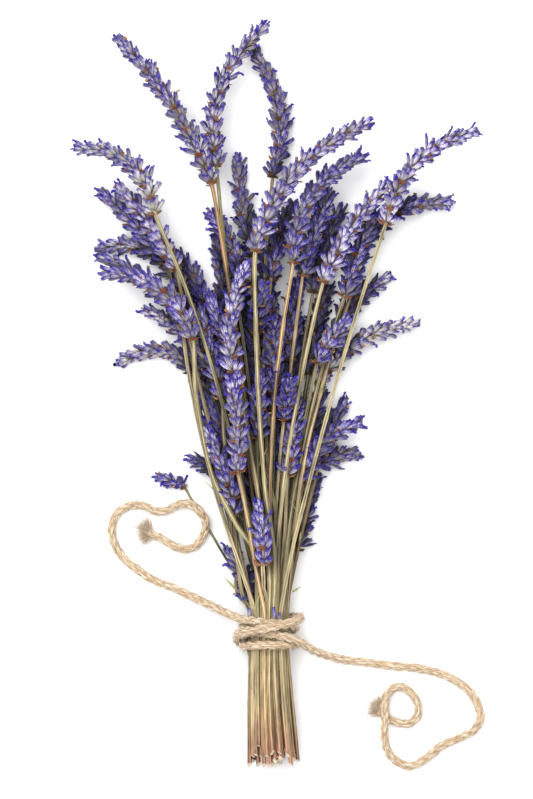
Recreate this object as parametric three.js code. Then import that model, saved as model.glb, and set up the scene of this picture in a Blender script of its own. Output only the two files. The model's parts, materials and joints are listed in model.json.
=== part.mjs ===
// A bunch of dried lavender, tied once with jute twine and lying on a table.
// Millimetres. +Z is up from the table and +Y runs from the cut ends towards the flowers.
// Every sprig is one grown piece: a thin stem that ends in a flower spike.

import * as THREE from 'three';

// ---- Driving dimensions ----
const STEM_RADIUS = 1.0;
const SPIKE_RADIUS = 4.3;
const SPIKE_TIP_RADIUS = 2.2;
const SHOOT_STEM_RADIUS = 0.7;
const SHOOT_SPIKE_RADIUS = 3;
const GAP = 0.3; // clear space between neighbouring pieces
const SPRIG_SIDES = 6;
const STEM_RINGS = 10; // rings from the cut end up to the foot of the spike
const SPIKE_RINGS = 6; // further rings along the spike

const LAYER_STEP = 9.5; // height from one layer of spikes to the next
const STEM_PITCH = 2 * STEM_RADIUS + GAP; // stems pressed together under the twine
const BUNDLE_FLATNESS = 0.82; // height of the tied bundle as a share of its width
const TIE_HALF_LENGTH = 9; // the stems run straight and parallel this far either side of the twine
const CUT_END_Y = -62;
const CUT_END_SCATTER = 5;
const CUT_END_SPREAD = 1.3; // how much wider the bundle is at the cut ends than at the twine
const CUT_END_SHIFT = 2.5; // the cut ends lean a little towards +X
const CUT_END_SAG = 0.8; // their height as a share of the tied bundle's

const TWINE_RADIUS = 2.1;
const TWINE_SIDES = 8;
const TWINE_STEP = 4.2 * TWINE_RADIUS; // length of one step of a tail's tube
const WRAP_STEP = 5; // the wraps turn tightly, so their steps are shorter
const TWINE_LAYER = 2 * TWINE_RADIUS + 0.3; // a wrap that rides over another lies this much further out

// How the sprigs settle against each other.
const SETTLE_ROUNDS = 700;
const LOOSE_ROUNDS = 240; // after these only the pushing apart goes on
const DROP_PER_ROUND = 0.06;
const SIDEWAYS_SHARE = 0.45; // crowded sprigs slide past each other more up and down than sideways
const HOME_PULL = 0.02;
const BEND_SHARING = 0.35;

// ---- Materials ----
const TONES = {
  lilac: new THREE.MeshStandardMaterial({ color: '#8f86b4', roughness: 0.9, metalness: 0 }),
  violet: new THREE.MeshStandardMaterial({ color: '#5f5590', roughness: 0.9, metalness: 0 }),
  slate: new THREE.MeshStandardMaterial({ color: '#564c6b', roughness: 0.9, metalness: 0 }),
  cream: new THREE.MeshStandardMaterial({ color: '#a39aa8', roughness: 0.9, metalness: 0 }),
};
const JUTE = new THREE.MeshStandardMaterial({ color: '#d9b990', roughness: 0.95, metalness: 0 });

// ---- The sprigs ----
// Places are in the plane of the table, from the middle of the tie. tip and foot are the two ends
// of the flower spike. bow is how far the spike curves to the right of the straight line from foot
// to tip, and stemBow is the same for the stem below it. layer counts up from the table. rise is
// how much higher the tip stands than the foot.
const SPRIGS = [
  // the left fan, from the outermost sprig inwards
  { tip: [-96, 242], foot: [-57, 209], bow: 11, stemBow: 9, layer: 3, tone: 'cream' },
  { tip: [-84, 180], foot: [-39, 146], bow: 10, stemBow: -10, layer: 3, tone: 'lilac' },
  { tip: [-85, 221], foot: [-52, 185], bow: 1, stemBow: -4, layer: 1, tone: 'violet' },
  { tip: [-76, 223], foot: [-48, 181], bow: 2, stemBow: -4, layer: 2, tone: 'lilac' },
  { tip: [-86, 192], foot: [-44, 172], bow: 11, stemBow: -5, layer: 1, tone: 'cream' },
  { tip: [-84, 187], foot: [-44, 158], bow: 4, stemBow: -5, layer: 2, tone: 'lilac' },
  { tip: [-62, 161], foot: [-30, 133], bow: 4, stemBow: -4, layer: 1, tone: 'cream' },
  { tip: [-75, 135], foot: [-30, 119], bow: 13, stemBow: -4, layer: 0, tone: 'cream' },
  { tip: [-49, 190], foot: [-29, 150], bow: 3, stemBow: -3, layer: 1, tone: 'violet' },
  { tip: [-35, 162], foot: [-23, 117], bow: 1, stemBow: -3, layer: 2, tone: 'lilac' },
  { tip: [-30, 168], foot: [-21, 133], bow: 0, stemBow: -2, layer: 2, tone: 'violet' },
  { tip: [-37, 117], foot: [-20, 79], bow: 2, stemBow: -3, layer: 1, tone: 'violet' },
  { tip: [-39, 86], foot: [-15, 64], bow: 4, stemBow: -2, layer: 0, tone: 'slate' },
  { tip: [-34, 102], foot: [-18, 58], bow: 3, stemBow: -2, layer: 2, tone: 'violet' },
  { tip: [-21, 40], foot: [-9, 13], bow: 2, stemBow: 0, layer: 1, tone: 'slate' },

  // the crown
  { tip: [-76, 297], foot: [-29, 224], bow: 5, stemBow: 3, layer: 2, tone: 'slate' },
  { tip: [-2, 303], foot: [-27, 233], bow: -11, stemBow: -2, layer: 2, tone: 'slate' },
  { tip: [-10, 294], foot: [2, 228], bow: 9, stemBow: -5, layer: 1, tone: 'slate' },
  { tip: [-16, 238], foot: [-8, 188], bow: -1, stemBow: 0, layer: 0, tone: 'slate' },
  { tip: [50, 254], foot: [-7, 190], bow: -11, stemBow: -3, layer: 4, tone: 'lilac' },
  { tip: [47, 238], foot: [12, 184], bow: -11, stemBow: -5, layer: 3, tone: 'violet' },
  { tip: [-31, 210], foot: [-17, 168], bow: 6, stemBow: 0, layer: 2, tone: 'violet' },
  { tip: [31, 221], foot: [17, 178], bow: -1, stemBow: -3, layer: 2, tone: 'violet' },
  { tip: [36, 212], foot: [22, 170], bow: -1, stemBow: -4, layer: 1, tone: 'slate' },
  { tip: [11, 215], foot: [0, 176], bow: -2, stemBow: -5, layer: 1, tone: 'violet' },

  // the heart of the bunch
  { tip: [-11, 184], foot: [-16, 122], bow: -6, stemBow: 2, layer: 4, tone: 'lilac' },
  { tip: [-18, 126], foot: [-15, 80], bow: 1, stemBow: 1, layer: 4, tone: 'lilac' },
  { tip: [-3, 173], foot: [-6, 150], bow: 0, stemBow: 0, layer: 2, tone: 'violet', rise: 24 },
  { tip: [0, 167], foot: [3, 111], bow: 1, stemBow: 0, layer: 2, tone: 'violet' },
  { tip: [-10, 161], foot: [-9, 124], bow: 0, stemBow: 0, layer: 1, tone: 'violet' },
  { tip: [-5, 128], foot: [-6, 97], bow: 0, stemBow: 0, layer: 2, tone: 'violet', rise: 12 },
  { tip: [12, 127], foot: [9, 106], bow: 0, stemBow: -1, layer: 2, tone: 'violet', rise: 18 },
  { tip: [-13, 137], foot: [-12, 98], bow: 0, stemBow: 0, layer: 1, tone: 'violet' },
  { tip: [5, 116], foot: [3, 76], bow: 0, stemBow: 0, layer: 1, tone: 'violet' },
  { tip: [13, 120], foot: [9, 78], bow: 2, stemBow: 0, layer: 2, tone: 'violet' },
  { tip: [-7, 95], foot: [-6, 58], bow: 0, stemBow: 0, layer: 1, tone: 'violet' },
  { tip: [-6, 65], foot: [-4, 34], bow: 1, stemBow: 0, layer: 3, tone: 'violet' },
  { tip: [22, 82], foot: [12, 42], bow: -1, stemBow: 0, layer: 0, tone: 'slate' },

  // the right fan, from the outermost sprig inwards
  { tip: [104, 250], foot: [58, 204], bow: -11, stemBow: -3, layer: 3, tone: 'lilac' },
  { tip: [92, 215], foot: [41, 169], bow: -17, stemBow: -6, layer: 1, tone: 'violet' },
  { tip: [60, 223], foot: [27, 175], bow: -3, stemBow: -5, layer: 3, tone: 'lilac' },
  { tip: [53, 209], foot: [37, 168], bow: -1, stemBow: -7, layer: 2, tone: 'violet' },
  { tip: [61, 178], foot: [32, 147], bow: -4, stemBow: -3, layer: 0, tone: 'slate' },
  { tip: [74, 154], foot: [26, 124], bow: -8, stemBow: -3, layer: 1, tone: 'cream' },
  { tip: [39, 157], foot: [24, 135], bow: 0, stemBow: -4, layer: 2, tone: 'violet' },
  { tip: [26, 124], foot: [18, 86], bow: 1, stemBow: 0, layer: 1, tone: 'violet' },
  { tip: [37, 115], foot: [22, 87], bow: 0, stemBow: 0, layer: 1, tone: 'violet' },
  { tip: [46, 105], foot: [15, 75], bow: -6, stemBow: 0, layer: 1, tone: 'violet' },
  { tip: [45, 89], foot: [19, 79], bow: -4, stemBow: 0, layer: 0, tone: 'slate' },

  // short sprigs deep in the bunch, which fill it between the outer ones
  { tip: [17, 182], foot: [12, 136], bow: -2, stemBow: 0, layer: 1, tone: 'violet' },
  { tip: [30, 173], foot: [20, 129], bow: -2, stemBow: 0, layer: 0, tone: 'slate' },
  { tip: [14, 159], foot: [9, 116], bow: 1, stemBow: 0, layer: 0, tone: 'violet' },
  { tip: [-2, 205], foot: [-4, 156], bow: 1, stemBow: 0, layer: 0, tone: 'slate' },
  { tip: [-27, 198], foot: [-23, 150], bow: 1, stemBow: 0, layer: 0, tone: 'slate' },
  { tip: [-43, 173], foot: [-30, 128], bow: 2, stemBow: 0, layer: 0, tone: 'violet' },
  { tip: [-14, 180], foot: [-12, 132], bow: 0, stemBow: 0, layer: 0, tone: 'slate' },

  // a thin side shoot, low on the left, whose stalk lies on the table under the twine
  { tip: [-57, 77], foot: [-43, 72], bow: 1, stemBow: -2, layer: 0, tone: 'violet', shoot: true },
];

// ---- The twine ----
// The wraps are stations on an oval round the bundle: the angle about the bundle's axis, the place
// along the bundle, and how far out it lies, in twine layers. The twine comes in over the top at
// the left, goes round three times, crosses itself on top and leaves at the right.
const WRAPS = [
  { angle: 125, y: 5.5, out: 0 },
  { angle: 90, y: 4.7, out: 0 },
  { angle: 45, y: 3.6, out: 0 },
  { angle: 0, y: 1.8, out: 0 },
  { angle: -45, y: 0.4, out: 0 },
  { angle: -90, y: -1, out: 0 },
  { angle: -115, y: -2.1, out: 0 },
  { angle: -135, y: -3.5, out: 0 },
  { angle: -150, y: -4.9, out: 0 },
  { angle: -165, y: -6.1, out: 0 },
  { angle: -180, y: -6.9, out: 0 },
  { angle: -225, y: -6.8, out: 0 },
  { angle: -270, y: -6.3, out: 0 },
  { angle: -315, y: -6.4, out: 0 },
  { angle: -360, y: -6.6, out: 0 },
  { angle: -405, y: -6.7, out: 0 },
  { angle: -450, y: -6.8, out: 0 },
  { angle: -475, y: -7.1, out: 0 },
  { angle: -492, y: -6.8, out: 0.65 },
  { angle: -510, y: -5.6, out: 1.0 },
  { angle: -525, y: -4.3, out: 0.9 },
  { angle: -542, y: -2.5, out: 0.45 },
  { angle: -560, y: -1.4, out: 0.85 },
  { angle: -585, y: -0.1, out: 1.05 },
  { angle: -630, y: 2.5, out: 1.05 },
  { angle: -675, y: 5.6, out: 1.05 },
  { angle: -700, y: 6.9, out: 0.75 },
  { angle: -720, y: 7.4, out: 0.35 },
  { angle: -765, y: 7.1, out: 0.05 },
  { angle: -810, y: 5.4, out: 0 },
  { angle: -855, y: 3.7, out: 0 },
  { angle: -900, y: 2, out: 0 },
  { angle: -945, y: 0.6, out: 0 },
  { angle: -980, y: -0.4, out: 0 },
  { angle: -1005, y: -1.2, out: 0.05 },
];

// The free tails: points on the table plane from the middle of the tie, with the height of the
// twine's middle above the table.
const LEFT_TAIL = [
  [-8.4, 5.6, 22.9], [-14.4, 6.7, 19.2], [-20.5, 9, 14], [-27, 12, 8.8], [-33.5, 15, 5.3],
  [-40, 18, 3.1], [-46.3, 20.8, 2.2], [-57.1, 25.2, 2.2], [-65.4, 30.3, 2.2], [-73, 36.7, 2.2],
  [-77.5, 43.7, 2.2], [-79.1, 51.4, 2.2], [-76.2, 59, 2.2], [-69.9, 62.9, 2.2],
  [-62.8, 62.9, 2.2], [-57.1, 60.2, 2.2], [-51.5, 60.4, 2.4], [-46.3, 63.3, 3.5],
  [-39.9, 64, 4.9], [-34.8, 60, 4.9], [-31.8, 54.6, 4.1], [-32.9, 48.2, 2.8],
  [-36.7, 43.1, 2.2], [-41.8, 41.1, 2.2], [-47.5, 42.5, 2.2], [-52.6, 45.6, 2.2],
  [-57.7, 48.2, 2.2], [-60.5, 49.5, 2.2],
];
const RIGHT_TAIL = [
  [4.3, -1.3, 25], [10.4, -2.8, 24.4], [15.8, -5.4, 20.9], [20.5, -8.4, 16], [25.5, -10.9, 10.8],
  [31, -12.8, 6.4], [38.9, -14.6, 3.2], [48.4, -15.7, 2.2], [61, -17.4, 2.2],
  [73.8, -18.7, 2.2], [85.3, -21.1, 2.2], [94.2, -25.3, 2.2], [101.2, -31, 2.2],
  [105.4, -38.7, 2.2], [106, -45, 2.2], [101.9, -50.8, 2.2], [92.9, -54.8, 2.2],
  [86.5, -57.8, 2.2], [81.4, -62.3, 2.2], [73.8, -67.2, 2.2], [68.5, -67.6, 2.2],
  [62.9, -64.4, 2.4], [59.3, -59.6, 3.4], [57.9, -51.4, 6.2], [58.3, -43.8, 7.1],
  [58.2, -36.2, 5], [60.3, -30.6, 3], [65.2, -28, 2.2], [70.6, -30.4, 2.2],
  [74.6, -36.1, 2.2], [74.6, -42.6, 2.2], [70, -46.6, 2.2], [63.9, -45.9, 2.2],
  [59.2, -43.3, 2.2], [55.5, -40, 2.2],
];

// A steady scatter in 0..1 from a whole number, so that the bunch comes out the same every time.
function scatter(n) {
  const s = Math.sin(n * 12.9898) * 43758.5453;
  return s - Math.floor(s);
}

// Stem places across the tied bundle, seen along its axis: the middle of a close-packed lattice,
// as many as there are sprigs, within an oval of the bundle's flatness.
function bundleSlots(count) {
  const slots = [];
  const rowHeight = STEM_PITCH * Math.sqrt(0.75);
  for (let row = -6; row <= 6; row++) {
    for (let column = -9; column <= 9; column++) {
      const x = (column + (row % 2 ? 0.5 : 0)) * STEM_PITCH;
      const z = row * rowHeight;
      slots.push({ x, z, row, reach: Math.hypot(x, z / BUNDLE_FLATNESS) });
    }
  }
  slots.sort((a, b) => a.reach - b.reach || a.x - b.x);
  return slots.slice(0, count);
}

// Gives each sprig a slot: low layers take the low rows, and inside a row the order from left to
// right is the order of the spikes, so that stems do not have to cross.
function shareSlots(sprigs, slots) {
  const byHeight = [...sprigs].sort((a, b) => a.layer - b.layer || a.foot[1] - b.foot[1]);
  const rows = [...new Set(slots.map((slot) => slot.row))].sort((a, b) => a - b);
  let taken = 0;
  for (const row of rows) {
    const inRow = slots.filter((slot) => slot.row === row).sort((a, b) => a.x - b.x);
    const group = byHeight.slice(taken, taken + inRow.length);
    group.sort((a, b) => a.foot[0] / a.foot[1] - b.foot[0] / b.foot[1]);
    group.forEach((sprig, i) => (sprig.slot = inRow[i]));
    taken += inRow.length;
  }
}

// A point on the shallow arc from a to b that bows to the right of a-to-b, seen from above.
function onArc(a, b, bow, t) {
  const run = new THREE.Vector2(b.x - a.x, b.y - a.y).normalize();
  const side = 4 * t * (1 - t) * bow;
  const point = a.clone().lerp(b, t);
  return point.add(new THREE.Vector3(run.y * side, -run.x * side, 0));
}

// The first route of a sprig, before it settles: cut end, straight under the twine, along the
// stem's arc to the foot of the spike, then along the spike's arc to its tip.
function sprigRoute(sprig, index, bundleZ) {
  const { slot } = sprig;
  const stemRadius = sprig.shoot ? SHOOT_STEM_RADIUS : STEM_RADIUS;
  const spikeRadius = sprig.shoot ? SHOOT_SPIKE_RADIUS : SPIKE_RADIUS;
  const footZ = spikeRadius + sprig.layer * LAYER_STEP;
  const foot = new THREE.Vector3(sprig.foot[0], sprig.foot[1], sprig.shoot ? stemRadius : footZ);
  const tip = new THREE.Vector3(sprig.tip[0], sprig.tip[1], footZ + (sprig.rise ?? 0));
  const lower = new THREE.Vector3(slot.x, -TIE_HALF_LENGTH, bundleZ + slot.z);
  const upper = new THREE.Vector3(slot.x, TIE_HALF_LENGTH, bundleZ + slot.z);
  const cutEnd = new THREE.Vector3(
    slot.x * CUT_END_SPREAD + CUT_END_SHIFT,
    CUT_END_Y - CUT_END_SCATTER * (2 * scatter(index) - 1),
    Math.max(bundleZ * CUT_END_SAG + slot.z * CUT_END_SPREAD, stemRadius),
  );
  const points = [cutEnd, onArc(cutEnd, lower, 0, 0.5), lower, upper];
  const stemSteps = STEM_RINGS - points.length + 1;
  for (let i = 1; i < stemSteps; i++) {
    points.push(onArc(upper, foot, sprig.stemBow, i / (stemSteps - 1)));
  }
  for (let i = 1; i <= SPIKE_RINGS; i++) {
    points.push(onArc(foot, tip, sprig.bow, i / SPIKE_RINGS));
  }
  const radii = points.map((_, i) => {
    const along = (i - STEM_RINGS) / (SPIKE_RINGS - 1);
    if (along < 0) return stemRadius;
    return THREE.MathUtils.lerp(spikeRadius, SPIKE_TIP_RADIUS, along * along);
  });
  const fixed = points.map((_, i) => i === 2 || i === 3);
  return { points, radii, fixed, home: points.map((point) => point.clone()) };
}

// The nearest points of segments ab and cd, as their shares s and t along each.
function nearestShares(a, b, c, d) {
  const u = b.clone().sub(a);
  const v = d.clone().sub(c);
  const w = a.clone().sub(c);
  const uu = u.dot(u);
  const uv = u.dot(v);
  const vv = v.dot(v);
  const uw = u.dot(w);
  const vw = v.dot(w);
  const clamp = THREE.MathUtils.clamp;
  const spread = uu * vv - uv * uv;
  let s = spread > 1e-9 ? clamp((uv * vw - vv * uw) / spread, 0, 1) : 0.5;
  const t = clamp((uv * s + vw) / vv, 0, 1);
  s = clamp((uv * t - uw) / uu, 0, 1);
  return { s, t };
}

// Pushes two crowded segments apart until their round skins are GAP from each other.
function partSegments(p, i, q, j) {
  const [a, b, c, d] = [p.points[i], p.points[i + 1], q.points[j], q.points[j + 1]];
  const wide = Math.max(p.radii[i], p.radii[i + 1]) + Math.max(q.radii[j], q.radii[j + 1]) + GAP;
  const reach = wide + (a.distanceTo(b) + c.distanceTo(d)) / 2;
  const middleX = (a.x + b.x - c.x - d.x) / 2;
  const middleY = (a.y + b.y - c.y - d.y) / 2;
  if (middleX * middleX + middleY * middleY > reach * reach) return;
  const { s, t } = nearestShares(a, b, c, d);
  const away = a.clone().lerp(b, s).sub(c.clone().lerp(d, t));
  const { lerp } = THREE.MathUtils;
  const need = lerp(p.radii[i], p.radii[i + 1], s) + lerp(q.radii[j], q.radii[j + 1], t) + GAP;
  const distance = away.length();
  if (distance >= need) return;
  if (distance < 0.05) away.set(0, 0, p.home[i].z >= q.home[j].z ? 1 : -1);
  away.normalize();
  if (distance < need - GAP) {
    away.x *= SIDEWAYS_SHARE;
    away.y *= SIDEWAYS_SHARE;
    away.normalize();
  }
  const ends = [[a, p.fixed[i], 1 - s], [b, p.fixed[i + 1], s]];
  const others = [[c, q.fixed[j], t - 1], [d, q.fixed[j + 1], -t]];
  const all = [...ends, ...others].filter(([, held]) => !held);
  const share = all.reduce((sum, [, , weight]) => sum + weight * weight, 0);
  if (share < 1e-6) return;
  for (const [point, , weight] of all) {
    point.addScaledVector(away, ((need - distance) * weight) / share);
  }
}

// Evens out how far neighbouring points of one sprig have moved, so that it stays a smooth arc.
function shareBend(path) {
  const moved = path.points.map((point, i) => point.clone().sub(path.home[i]));
  path.points.forEach((point, i) => {
    if (path.fixed[i]) return;
    const before = moved[i - 1] ?? moved[i];
    const after = moved[i + 1] ?? moved[i];
    const even = before.clone().add(after).multiplyScalar(0.5);
    point.addScaledVector(even.sub(moved[i]), BEND_SHARING);
  });
}

// Lets the sprigs sink and press against each other, the twine and the table.
function settle(paths, obstacles) {
  for (let round = 0; round < SETTLE_ROUNDS; round++) {
    const loose = round < LOOSE_ROUNDS;
    for (const path of paths) {
      if (loose) shareBend(path);
      path.points.forEach((point, i) => {
        if (path.fixed[i]) return;
        if (loose) {
          point.z -= DROP_PER_ROUND * (i / path.points.length);
          point.x += (path.home[i].x - point.x) * HOME_PULL;
          point.y += (path.home[i].y - point.y) * HOME_PULL;
        }
      });
    }
    for (let a = 0; a < paths.length; a++) {
      for (const other of [...paths.slice(a + 1), ...obstacles]) {
        for (let i = 0; i < paths[a].points.length - 1; i++) {
          for (let j = 0; j < other.points.length - 1; j++) partSegments(paths[a], i, other, j);
        }
      }
      paths[a].points.forEach((point, i) => (point.z = Math.max(point.z, paths[a].radii[i])));
    }
  }
}

// A round bar turned on a lathe, one ring for each point, then bent so that its axis runs through
// the points. The rings are carried along the path without twisting.
function bentBar(points, radii, sides) {
  const last = points.length - 1;
  const profile = [new THREE.Vector2(0, 0)];
  points.forEach((_, i) => profile.push(new THREE.Vector2(radii[i], i)));
  profile.push(new THREE.Vector2(0, last));
  const bar = new THREE.LatheGeometry(profile, sides);

  const frames = [];
  let across = new THREE.Vector3(1, 0, 0);
  for (let i = 0; i <= last; i++) {
    const tangent = points[Math.min(i + 1, last)].clone().sub(points[Math.max(i - 1, 0)]).normalize();
    if (i === 0 && Math.abs(tangent.x) > 0.9) across.set(0, 0, 1);
    across = across.clone().addScaledVector(tangent, -across.dot(tangent)).normalize();
    frames.push({ across, up: across.clone().cross(tangent) });
  }
  const place = bar.getAttribute('position');
  for (let k = 0; k < place.count; k++) {
    const ring = Math.round(place.getY(k));
    const { across: sideways, up } = frames[ring];
    const spot = points[ring].clone();
    spot.addScaledVector(sideways, place.getX(k)).addScaledVector(up, place.getZ(k));
    place.setXYZ(k, spot.x, spot.y, spot.z);
  }
  bar.computeVertexNormals();
  return bar;
}

// A free tail: a round section drawn along a smooth curve through its route.
function tailGeometry(route) {
  const curve = new THREE.CatmullRomCurve3(route.map((p) => new THREE.Vector3(...p)));
  const section = new THREE.Shape();
  for (let i = 0; i < TWINE_SIDES; i++) {
    const angle = (2 * Math.PI * i) / TWINE_SIDES;
    const spot = [TWINE_RADIUS * Math.cos(angle), TWINE_RADIUS * Math.sin(angle)];
    if (i === 0) section.moveTo(...spot);
    else section.lineTo(...spot);
  }
  const steps = Math.round(curve.getLength() / TWINE_STEP);
  return new THREE.ExtrudeGeometry(section, { extrudePath: curve, steps });
}

// The wraps as evenly spaced points on an oval that clears the bundle, whose widest stem lies at
// reach from its axis.
function wrapRoute(reach, bundleZ) {
  const skin = STEM_RADIUS + GAP + TWINE_RADIUS;
  const stations = WRAPS.map(({ angle, y, out }) => {
    const turn = THREE.MathUtils.degToRad(angle);
    const x = (reach + skin + out * TWINE_LAYER) * Math.cos(turn);
    const z = (reach * BUNDLE_FLATNESS + skin + out * TWINE_LAYER) * Math.sin(turn);
    return new THREE.Vector3(x, y, bundleZ + z);
  });
  const curve = new THREE.CatmullRomCurve3(stations);
  return curve.getSpacedPoints(Math.round(curve.getLength() / WRAP_STEP));
}

// Even radii and points that do not move, for twine that the sprigs settle against.
function still(points) {
  return {
    points,
    home: points,
    radii: points.map(() => TWINE_RADIUS),
    fixed: points.map(() => true),
  };
}

function named(name, geometry, material) {
  const mesh = new THREE.Mesh(geometry, material);
  mesh.name = name;
  return mesh;
}

// ---- Putting the bunch together ----
const slots = bundleSlots(SPRIGS.length);
const bundleReach = Math.max(...slots.map((slot) => slot.reach));
const bundleZ = bundleReach * BUNDLE_FLATNESS + STEM_RADIUS + GAP + 2 * TWINE_RADIUS;
shareSlots(SPRIGS, slots);

const wraps = wrapRoute(bundleReach, bundleZ);
const tails = [LEFT_TAIL, RIGHT_TAIL].map((route) => {
  const curve = new THREE.CatmullRomCurve3(route.map((p) => new THREE.Vector3(...p)));
  return curve.getSpacedPoints(Math.round(curve.getLength() / TWINE_STEP));
});
const paths = SPRIGS.map((sprig, i) => sprigRoute(sprig, i, bundleZ));
settle(paths, [still(wraps), ...tails.map(still)]);

const bunch = new THREE.Group();
paths.forEach(({ points, radii }, i) => {
  const name = `sprig_${String(i + 1).padStart(2, '0')}`;
  bunch.add(named(name, bentBar(points, radii, SPRIG_SIDES), TONES[SPRIGS[i].tone]));
});
bunch.add(named('twine_tie', bentBar(wraps, wraps.map(() => TWINE_RADIUS), TWINE_SIDES), JUTE));

// The origin is on the table, under the middle of the tied bunch without its free tails.
const box = new THREE.Box3().setFromObject(bunch);
const middle = box.getCenter(new THREE.Vector3());
bunch.add(named('twine_tail_left', tailGeometry(LEFT_TAIL), JUTE));
bunch.add(named('twine_tail_right', tailGeometry(RIGHT_TAIL), JUTE));
bunch.position.set(-middle.x, -middle.y, -box.min.z);

const group = new THREE.Group();
group.add(bunch);
export default group;
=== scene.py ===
"""A bunch of dried lavender, tied once with jute twine and lying on a pale table.

Each sprig is grown along the middle line of its CAD bar: a square, grooved stem, then a flower
spike of whorls. A whorl is two fans of downy calyces with papery bracts under them and, in some
calyces, a withered corolla. The twine is three twisted plies along one route, in three pieces:
the wraps and the two free tails, whose ends are frayed.

Shapes are worked out in millimetres and put into the meshes in metres.
"""

import json
import math

import bpy
import numpy as np
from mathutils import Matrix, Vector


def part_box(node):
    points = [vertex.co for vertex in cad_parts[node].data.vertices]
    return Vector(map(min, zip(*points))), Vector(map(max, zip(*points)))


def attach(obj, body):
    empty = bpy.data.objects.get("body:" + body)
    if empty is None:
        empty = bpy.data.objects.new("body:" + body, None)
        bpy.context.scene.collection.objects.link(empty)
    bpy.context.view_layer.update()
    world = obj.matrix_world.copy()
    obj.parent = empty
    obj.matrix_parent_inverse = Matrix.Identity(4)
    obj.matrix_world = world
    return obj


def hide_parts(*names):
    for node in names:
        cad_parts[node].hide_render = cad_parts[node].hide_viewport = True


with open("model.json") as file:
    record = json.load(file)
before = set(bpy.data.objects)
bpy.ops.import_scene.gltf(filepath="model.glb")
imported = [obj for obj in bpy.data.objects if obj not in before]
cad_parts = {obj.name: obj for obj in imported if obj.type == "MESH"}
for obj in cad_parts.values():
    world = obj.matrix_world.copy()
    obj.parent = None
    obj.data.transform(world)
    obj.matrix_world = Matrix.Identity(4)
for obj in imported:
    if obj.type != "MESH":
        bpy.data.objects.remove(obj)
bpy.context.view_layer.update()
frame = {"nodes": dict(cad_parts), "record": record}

MM = 0.001
SEED = 11

# ---- The flower spike ----
WHORL_SPACING = 6.4  # mean distance between whorls; they stand closer towards the tip
CALYX_LENGTH = 7.0
CALYX_WIDTH = 2.15
CALYX_SIDES = 10
CALYCES_LOW, CALYCES_HIGH = 15, 10  # in the lowest and the highest whorl
FAN_SPREAD = math.radians(148)  # how far round the stem each of a whorl's two fans reaches
BRACT_LENGTH = 4.8
BRACT_WIDTH = 4.4
COROLLA_LENGTH = 2.4
COROLLA_WIDTH = 1.4
TIP_REACH = 7.0  # the last whorl sits this far before the spike's end

# ---- The stem ----
STEM_RADIUS = 1.04
SHOOT_RADIUS = 0.62
RACHIS_RADIUS = 0.6  # the stem's radius at the tip of the spike
STEM_SIDES = 16
STEM_STEP = 3.0
SHOOT_BELOW = 0.85  # a CAD bar with a thinner foot than this is a side shoot
SPIKE_WIDENS = 1.6  # the spike starts where the CAD bar is this many times as thick as its foot
SHOOT_SPIKE = 0.72  # size of a side shoot's spike
LEAFY_SHARE = 0.4  # share of the stems that keep two leaves

# ---- The twine ----
TWINE_RADIUS = 2.2
PLY_RADIUS = 1.15
PLY_ORBIT = TWINE_RADIUS - PLY_RADIUS
PLY_LAY = 16.0  # length of one turn of a ply round the twine
YARNS = 7  # thin yarns that make up one ply
YARN_RADIUS = 0.36
YARN_LAY = 13.0  # length of one turn of a yarn round its ply, the other way
YARN_SIDES = 6
TWINE_STEP = 0.8
HAIR_PER_MM = 5.0
JOINT_GAP = 0.8  # from the end of the wraps to the start of each tail's route

FRAY_FIBRES = 240  # loose fibres at each frayed end
LONGEST_HAIRS = (3.6, 6.0, 3.6)  # on the left tail, the wraps and the right tail

# ---- The noise and the relief of the materials ----
GRAIN = {"Detail": 3.0, "Roughness": 0.6}
SMOOTH_GRAIN = {"Detail": 2.0, "Roughness": 0.6}
RELIEF = 0.15

# ---- Camera, light and table ----
VIEW_SHIFT = (-0.9, 116.05)  # mm from the middle of the wraps to the middle of the view
VIEW_LENGTH = 399.5  # mm on the bunch from the bottom to the top of the view
CAMERA_HEIGHT = 3.5  # m
SUBJECT_HEIGHT = 0.02  # m; where the view's length holds and where the lamps aim
LAMPS = (  # name, place and size in m, power in W
    ("key", (-0.75, 0.8, 2.3), 2.6, 84.0),
    ("fill", (0.9, -0.5, 1.3), 1.2, 7.5),
)
ROOM_LIGHT = 0.68
TABLE_HALF = 2.5  # m

# ---- How deep a thing lies under the uppermost sprigs, which sets the painted shade ----
COVER_FIRST = (-130, -215)  # corner of the map of heights, whose squares are 1 mm wide
COVER_SQUARES = (261, 431)
COVER_BRUSH = 7  # mm, wider than the thickest spike's radius
COVER_SPREAD = 4  # mm
BLEACHED_SIDE = (20.0, 50.0)  # mm; spikes that end further to the right have faded more
# painted shade: flowers and stems deep under the uppermost sprigs are painted darker
FLOWER_SHADE_DEPTHS = (5.0, 18.0)  # mm; from where flowers start to be darker to where they are darkest
STEM_SHADE_DEPTHS = (1.5, 9.0)

# ---- What differs between the tones of lavender ----
# calyx: from its violet flanks and mouth to its pale downy back; foot_fading: how much paler the
# lowest whorls are; corolla: share of the calyces that still hold a withered flower.
TONES = {
    "lavender_lilac": {
        "foot_fading": 0.15, "calyx": ("#2C2072", "#7064AE", "#BEB0DC", "#F4F0F2"), "corolla": 0.26,
    },
    "lavender_violet": {
        "foot_fading": 0.0, "calyx": ("#1C1258", "#54489E", "#968CC6", "#E2DAE2"), "corolla": 0.32,
    },
    "lavender_slate": {
        "foot_fading": 0.0, "calyx": ("#20164C", "#584C84", "#9A90B6", "#E2DAD8"), "corolla": 0.28,
    },
    "lavender_cream": {
        "foot_fading": 0.75, "calyx": ("#362A70", "#8478A8", "#CAC3CA", "#F6F2E8"), "corolla": 0.22,
    },
}

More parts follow.
